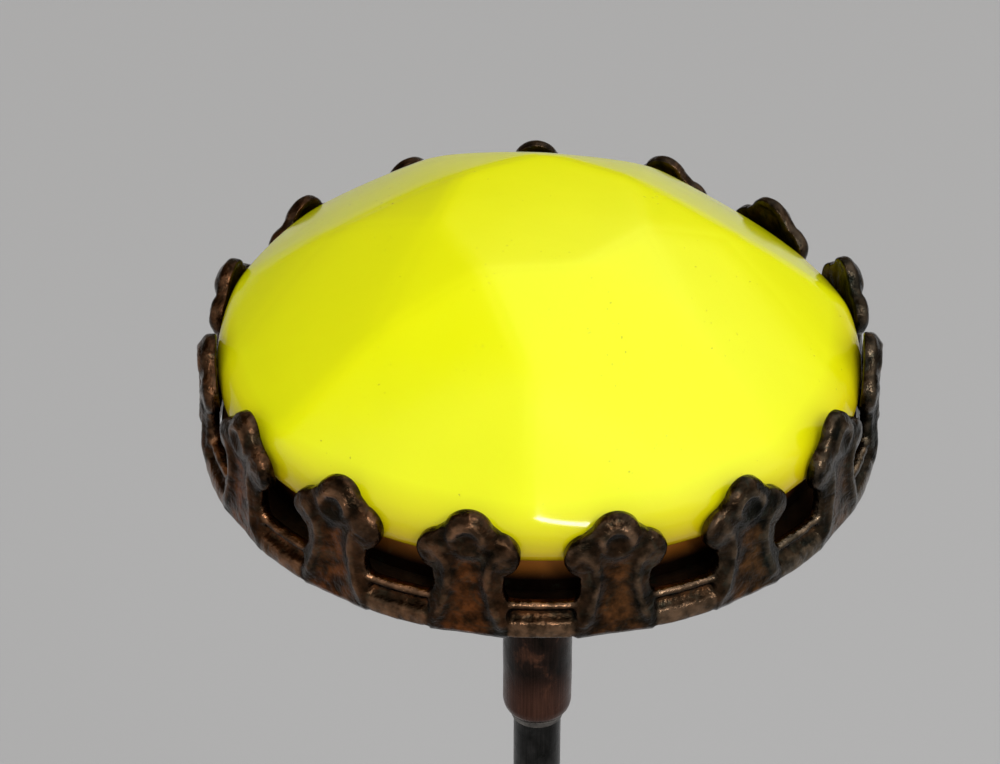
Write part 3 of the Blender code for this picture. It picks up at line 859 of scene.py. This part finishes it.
def strip_relief(flat, free_edges):
    """For each point: how far the outer and inner faces stand out from the strip's plain back, how worn the
    outer face is, and how coppery."""
    across = np.abs(flat[:, 0])
    up = flat[:, 1]
    line = ridge_line()
    foot = 1 - smooth_step(FOOT_HALF_WIDTH - FOOT_EDGE[0], FOOT_HALF_WIDTH - FOOT_EDGE[1], across)
    on_rail = 1 - smooth_step(RAIL_HEIGHT - RAIL_FADE[0], RAIL_HEIGHT + RAIL_FADE[1], up)
    bead = np.sqrt(np.clip(1 - np.abs(2 * up / BEAD_HEIGHT - 1) ** BEAD_SQUARENESS, 0, None))
    cove = np.sin(np.clip((up - BEAD_HEIGHT) / (COVE_TOP - BEAD_HEIGHT), 0, 1) * math.pi)
    foot_rise = FOOT_RISE * (1 - FOOT_LOSS * smooth_step(*FOOT_FADE, up))
    rise = (bead * BEAD_STAND - cove * COVE_DEPTH) * (1 - foot) * on_rail
    rise += foot_rise * np.maximum(foot, 1 - on_rail)
    channel = np.maximum(channel_share(across, up, line) * foot, COVE_COPPER * cove * (1 - foot) * on_rail)
    features = prong_features(across, up, line)
    rise += (features**BLEND_POWER).sum(axis=0) ** (1 / BLEND_POWER) - CHANNEL_DEPTH * channel
    upper_gap, lower_gap = [distance_to(flat, edge) for edge in free_edges]
    drop = edge_drop(upper_gap, EDGE_ROUNDING) + edge_drop(lower_gap, LOWER_ROUNDING)
    worn = wear(features, upper_gap, up, bead, foot)
    return STRIP_THICKNESS + rise - drop, BACK_RISE * rise + BACK_DROP * drop, worn, channel


def prong_quirks():
    """Small differences between the prongs: lean, twist, sideways shift and height."""
    chance = random.Random(7)
    quirks = []
    for _ in range(PRONG_COUNT):
        lean = chance.uniform(*LEANS) * MM
        twist = chance.uniform(*TWISTS)
        shift = chance.uniform(*SHIFTS) * MM
        stretch = chance.uniform(*STRETCHES)
        quirks.append((lean, twist, shift, stretch))
    return quirks


def roll_tile(tile, flat, depth, quirk, first, last):
    """Rolls one pitch of the strip round the pin's axis, with the prong's own quirks."""
    lean, twist, shift, stretch = quirk
    across, up = flat[:, 0], flat[:, 1]
    height_share = np.clip((up - RAIL_HEIGHT) / (PRONG_TOP - RAIL_HEIGHT), 0, None)
    along = across + shift * height_share
    seam_share = np.clip((np.abs(across) - FOOT_HALF_WIDTH) / (pitch / 2 - FOOT_HALF_WIDTH), 0, 1)
    if tile == first:
        along = along + SEAM_GAP / 2 * seam_share * (across < 0)
    if tile == last:
        along = along - SEAM_GAP / 2 * seam_share * (across > 0)
    lean_share = np.clip((up - LEAN_START) / (PRONG_TOP - LEAN_START), 0, None) ** 2
    radius = inner_radius + depth - (LEAN_DEPTH + lean) * lean_share + twist * across * height_share**2
    angle = FIRST_PRONG + (tile * pitch + along) / roll_radius
    height = rail_bottom + up + stretch * (up - RAIL_HEIGHT) * (up > RAIL_HEIGHT)
    return np.stack([radius * np.sin(angle), -radius * np.cos(angle), height], axis=1)


def boundary_edges(triangles):
    """Directed edges that belong to one triangle only."""
    edges = set()
    for triangle in triangles:
        for i, vertex in enumerate(triangle):
            edges.add((vertex, triangle[(i + 1) % len(triangle)]))
    return sorted(edge for edge in edges if (edge[1], edge[0]) not in edges)


def open_edges(rim, flat, is_first, is_last):
    """The rim's edges without the sides where the tile joins its neighbours."""
    edges = []
    for a, b in rim:
        on_left = max(flat[a][0], flat[b][0]) < -pitch / 2 + SIDE_TOLERANCE
        on_right = min(flat[a][0], flat[b][0]) > pitch / 2 - SIDE_TOLERANCE
        joined = (on_left and not is_first) or (on_right and not is_last)
        if not joined:
            edges.append((a, b))
    return edges


def make_crown():
    flat, triangles, free_edges = tile_mesh()
    outer, inner, worn, channel = strip_relief(flat, free_edges)
    count = len(flat)
    first = -(PRONG_COUNT // 2) + 1
    last = first + PRONG_COUNT - 1
    rim = boundary_edges(triangles)
    vertices, faces, wear_shares, copper_shares = [], [], [], []
    for tile, quirk in zip(range(first, last + 1), prong_quirks()):
        start = len(vertices)
        for point in roll_tile(tile, flat, outer, quirk, first, last):
            direction = Vector((point[0], point[1], 0)).normalized()
            vertices.append(Vector(point) + direction * uneven(point, CROWN_WAVE_SIZE, CROWN_WAVE))
        vertices += [Vector(point) for point in roll_tile(tile, flat, inner, quirk, first, last)]
        wear_shares += list(worn) + [WORN_BACK] * count
        copper_shares += list(channel) + [BACK_COPPER] * count
        faces += [tuple(start + i for i in triangle) for triangle in triangles]
        faces += [tuple(start + count + i for i in reversed(triangle)) for triangle in triangles]
        for a, b in open_edges(rim, flat, tile == first, tile == last):
            faces.append((start + b, start + a, start + count + a, start + count + b))
    piece = add_piece("stamped_crown", vertices, faces, patina_material(), "crown_gallery")
    set_shares(piece, "worn", wear_shares)
    set_shares(piece, "channel", copper_shares)
    weld = piece.modifiers.new("joined tiles", "WELD")
    weld.merge_threshold = WELD_DISTANCE


# Turned and soldered parts

def make_ferrule():
    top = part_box("ferrule")[1]
    profile = [(top.x, top.z), (top.x, TURN_IN_START), TURN_IN, (MOUTH_RADIUS, 0.0)]
    profile += [(BORE, 0.0), (BORE, top.z)]
    material = drawn_material("dark_drawn_brass", FERRULE_TONES, (0.20, 0.42), FERRULE_COPPER_START)
    turned_piece("ferrule_tube", profile, material, "ferrule", closed=True, steps=64,
                 corner=0.06 * MM, spacing=0.20 * MM, wobble=0.012 * MM, wobble_size=0.9 * MM)


def make_stem():
    low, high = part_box("stem")
    seat = high.z - RIVET_HEIGHT
    profile = [(0.0, high.z), (RIVET_TOP_RADIUS, high.z), (high.x, high.z - RIVET_SHOULDER)]
    profile += [(RIVET_SEAT_RADIUS, seat), (WIRE_RADIUS, seat)]
    for i in range(POINT_STEPS + 1):
        along = i / POINT_STEPS
        radius = TIP_RADIUS + (WIRE_RADIUS - TIP_RADIUS) * (1 - along**POINT_CURVE)
        profile.append((radius, low.z + POINT_LENGTH * (1 - along)))
    profile.append((0.0, low.z))
    material = drawn_material("dark_steel_wire", STEM_TONES, (0.22, 0.40))
    turned_piece("stem_wire", profile, material, "stem", closed=False, steps=40,
                 corner=0.05 * MM, spacing=0.6 * MM, wobble=0.008 * MM, wobble_size=1.4 * MM)


def make_ferrule_fillet(material):
    """The hollow-sided fillet where the ferrule meets the base plate."""
    low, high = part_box("ferrule_solder")
    reach = high.x - FILLET_RADIUS - FILLET_LIP
    profile = [(high.x, high.z)]
    for i in range(FILLET_STEPS + 1):
        turn = math.pi / 2 * i / FILLET_STEPS
        radius = FILLET_RADIUS + FILLET_LIP + reach * (1 - math.sin(turn))
        profile.append((radius, high.z - FILLET_LIP - reach * (1 - math.cos(turn))))
    profile += [(FILLET_RADIUS, low.z), (FILLET_RADIUS, high.z)]
    turned_piece("ferrule_fillet", profile, material, "ferrule_solder", closed=True, steps=72,
                 corner=0.03 * MM, spacing=0.12 * MM, wobble=0.05 * MM, wobble_size=0.7 * MM)


def make_mouth_fillet(material):
    """The small ring of solder where the stem leaves the ferrule."""
    low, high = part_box("mouth_solder")
    middle, end = MOUTH_SOLDER_RADII
    profile = [(high.x, high.z), (middle, (low.z + high.z) / 2), (end, low.z), (BORE, low.z), (BORE, high.z)]
    turned_piece("mouth_fillet", profile, material, "mouth_solder", closed=True, steps=56,
                 corner=0.02 * MM, spacing=0.06 * MM, wobble=0.006 * MM, wobble_size=0.5 * MM)


def make_rim_fillet(material):
    """The run of solder between the base plate and the crown."""
    low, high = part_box("rim_solder")
    width, climb = RIM_SOLDER_FLAT
    profile = [(high.x, high.z), (high.x, low.z), (high.x - width, low.z + climb)]
    profile.append((high.x - RIM_SOLDER_WIDTH, high.z))
    turned_piece("rim_fillet", profile, material, "rim_solder", closed=True, steps=240,
                 corner=0.03 * MM, spacing=0.08 * MM, wobble=0.03 * MM, wobble_size=0.6 * MM)


def make_seam(material):
    """The upright run of solder in the strip's seam, a lumpy rounded bar."""
    low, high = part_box("gallery_seam")
    middle = (low + high) / 2
    angle = math.atan2(middle.x, -middle.y)
    outward = Vector((math.sin(angle), -math.cos(angle), 0))
    sideways = Vector((math.cos(angle), math.sin(angle), 0))
    half_height = (high.z - low.z) / 2
    vertices = []
    for row in range(SEAM_ROWS + 1):
        share = 2 * row / SEAM_ROWS - 1
        pinch = max((1 - abs(share) ** SEAM_SQUARENESS) ** 0.5, SEAM_LEAST)
        for i in range(SEAM_STEPS):
            turn = 2 * math.pi * i / SEAM_STEPS
            point = middle + Vector((0, 0, -half_height * share))
            point += outward * math.sin(turn) * SEAM_HALF_DEPTH * pinch
            point += sideways * math.cos(turn) * SEAM_HALF_WIDTH * pinch
            vertices.append(point + outward * uneven(point, SEAM_WAVE_SIZE, SEAM_WAVE))
    faces = skin_faces(SEAM_ROWS + 1, SEAM_STEPS, False)
    faces.append(tuple(range(SEAM_STEPS)))
    faces.append(tuple(reversed(range(SEAM_ROWS * SEAM_STEPS, (SEAM_ROWS + 1) * SEAM_STEPS))))
    add_piece("seam_run", vertices, faces, material, "gallery_seam")


def make_solder():
    material = solder_material()
    make_ferrule_fillet(material)
    make_mouth_fillet(material)
    make_rim_fillet(material)
    make_seam(material)


def make_plate():
    low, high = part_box("base_plate")
    profile = [(high.x, high.z), (high.x, low.z), (BORE, low.z), (BORE, high.z)]
    material = plate_material("turned_dull_brass", PLATE_TONES)
    turned_piece("back_plate", profile, material, "base_plate", closed=True, steps=240,
                 corner=0.08 * MM, spacing=0.35 * MM, wobble=0.004 * MM, wobble_size=1.5 * MM)


def dress_inner_nodes():
    """The ring and card behind the stone keep their CAD shapes and get materials."""
    ring = plate_material("dark_ring_brass", RING_TONES, top=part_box("bearing_ring")[1].z)
    for node, material, slot in (("bearing_ring", ring, "inner_metal"),
                                 ("packing_disc", card_material(), "packing_card")):
        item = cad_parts[node]
        item.data.materials.clear()
        item.data.materials.append(material)


# Stage

def make_floor():
    height = cad_bounds[0][2] - FLOOR_GAP
    near, far = -FLOOR_REACH, FLOOR_REACH * 2
    corners = [(-FLOOR_REACH, near, height), (FLOOR_REACH, near, height)]
    corners += [(FLOOR_REACH, far, height), (-FLOOR_REACH, far, height)]
    mesh = bpy.data.meshes.new("floor")
    mesh.from_pydata(corners, [], [(0, 1, 2, 3)])
    mesh.materials.append(floor_material())
    floor = bpy.data.objects.new("floor", mesh)
    bpy.context.scene.collection.objects.link(floor)


def make_key():
    """The one lamp, a soft panel aimed at the head."""
    direction = Vector(polar(math.cos(KEY_ELEVATION), KEY_AZIMUTH, math.sin(KEY_ELEVATION)))
    light = bpy.data.lights.new("key", "AREA")
    light.shape = "RECTANGLE"
    light.size, light.size_y = KEY_SIZE
    light.energy = KEY_POWER
    light.color = KEY_COLOUR
    item = bpy.data.objects.new("key", light)
    item.location = CAMERA_TARGET + direction * KEY_DISTANCE
    turned = direction.to_track_quat("Z", "Y").to_euler()
    turned.rotate_axis("Z", KEY_ROLL)
    item.rotation_euler = turned
    bpy.context.scene.collection.objects.link(item)


def soft_share(tree, direction, axis, edge):
    """A number from 0 to 1 over the sky: how far a direction has passed the two edge values along an axis."""
    along = add_node(tree, "ShaderNodeVectorMath", [(0, direction), (1, axis)], operation="DOT_PRODUCT")
    start, full = edge
    span = [("Value", along.outputs["Value"]), ("From Min", start), ("From Max", full)]
    return add_node(tree, "ShaderNodeMapRange", span, interpolation_type="SMOOTHSTEP").outputs[0]


def make_world():
    """A dim warm studio, bright in front and a little lit from the right."""
    world = bpy.data.worlds.new("studio")
    world.use_nodes = True
    tree = world.node_tree
    background = tree.nodes["Background"]
    direction = add_node(tree, "ShaderNodeTexCoord").outputs["Generated"]
    behind_edge = Vector((0, math.sin(FRONT_EDGE_ELEVATION), math.cos(FRONT_EDGE_ELEVATION)))
    front = soft_share(tree, direction, behind_edge, FRONT_EDGE)
    azimuth, elevation = RIGHT_MIDDLE
    right_middle = Vector(polar(math.cos(elevation), azimuth, math.sin(elevation)))
    right = soft_share(tree, direction, right_middle, RIGHT_EDGE)
    strength = math_node(tree, "ADD", math_node(tree, "MULTIPLY", front, FRONT_STRENGTH), SURROUND_STRENGTH)
    strength = math_node(tree, "ADD", math_node(tree, "MULTIPLY", right, RIGHT_STRENGTH), strength)
    colour = mix(tree, math_node(tree, "MAXIMUM", front, right), SURROUND_COLOUR, WINDOW_COLOUR)
    feed(tree, background.inputs["Strength"], strength)
    feed(tree, background.inputs["Color"], colour)
    bpy.context.scene.world = world


def make_camera():
    forward = Vector((0, math.cos(CAMERA_ELEVATION), -math.sin(CAMERA_ELEVATION)))
    camera = bpy.data.cameras.new("camera")
    camera.lens = CAMERA_LENS
    camera.sensor_width = SENSOR_WIDTH
    camera.clip_start = NEAREST_SEEN
    item = bpy.data.objects.new("camera", camera)
    item.location = CAMERA_TARGET - forward * CAMERA_DISTANCE
    item.rotation_euler = forward.to_track_quat("-Z", "Y").to_euler()
    bpy.context.scene.collection.objects.link(item)
    bpy.context.scene.camera = item


make_camera()
make_floor()
make_key()
make_world()
bpy.context.scene.view_settings.view_transform = "Standard"
make_stone()
make_crown()
make_ferrule()
make_stem()
make_solder()
make_plate()
dress_inner_nodes()
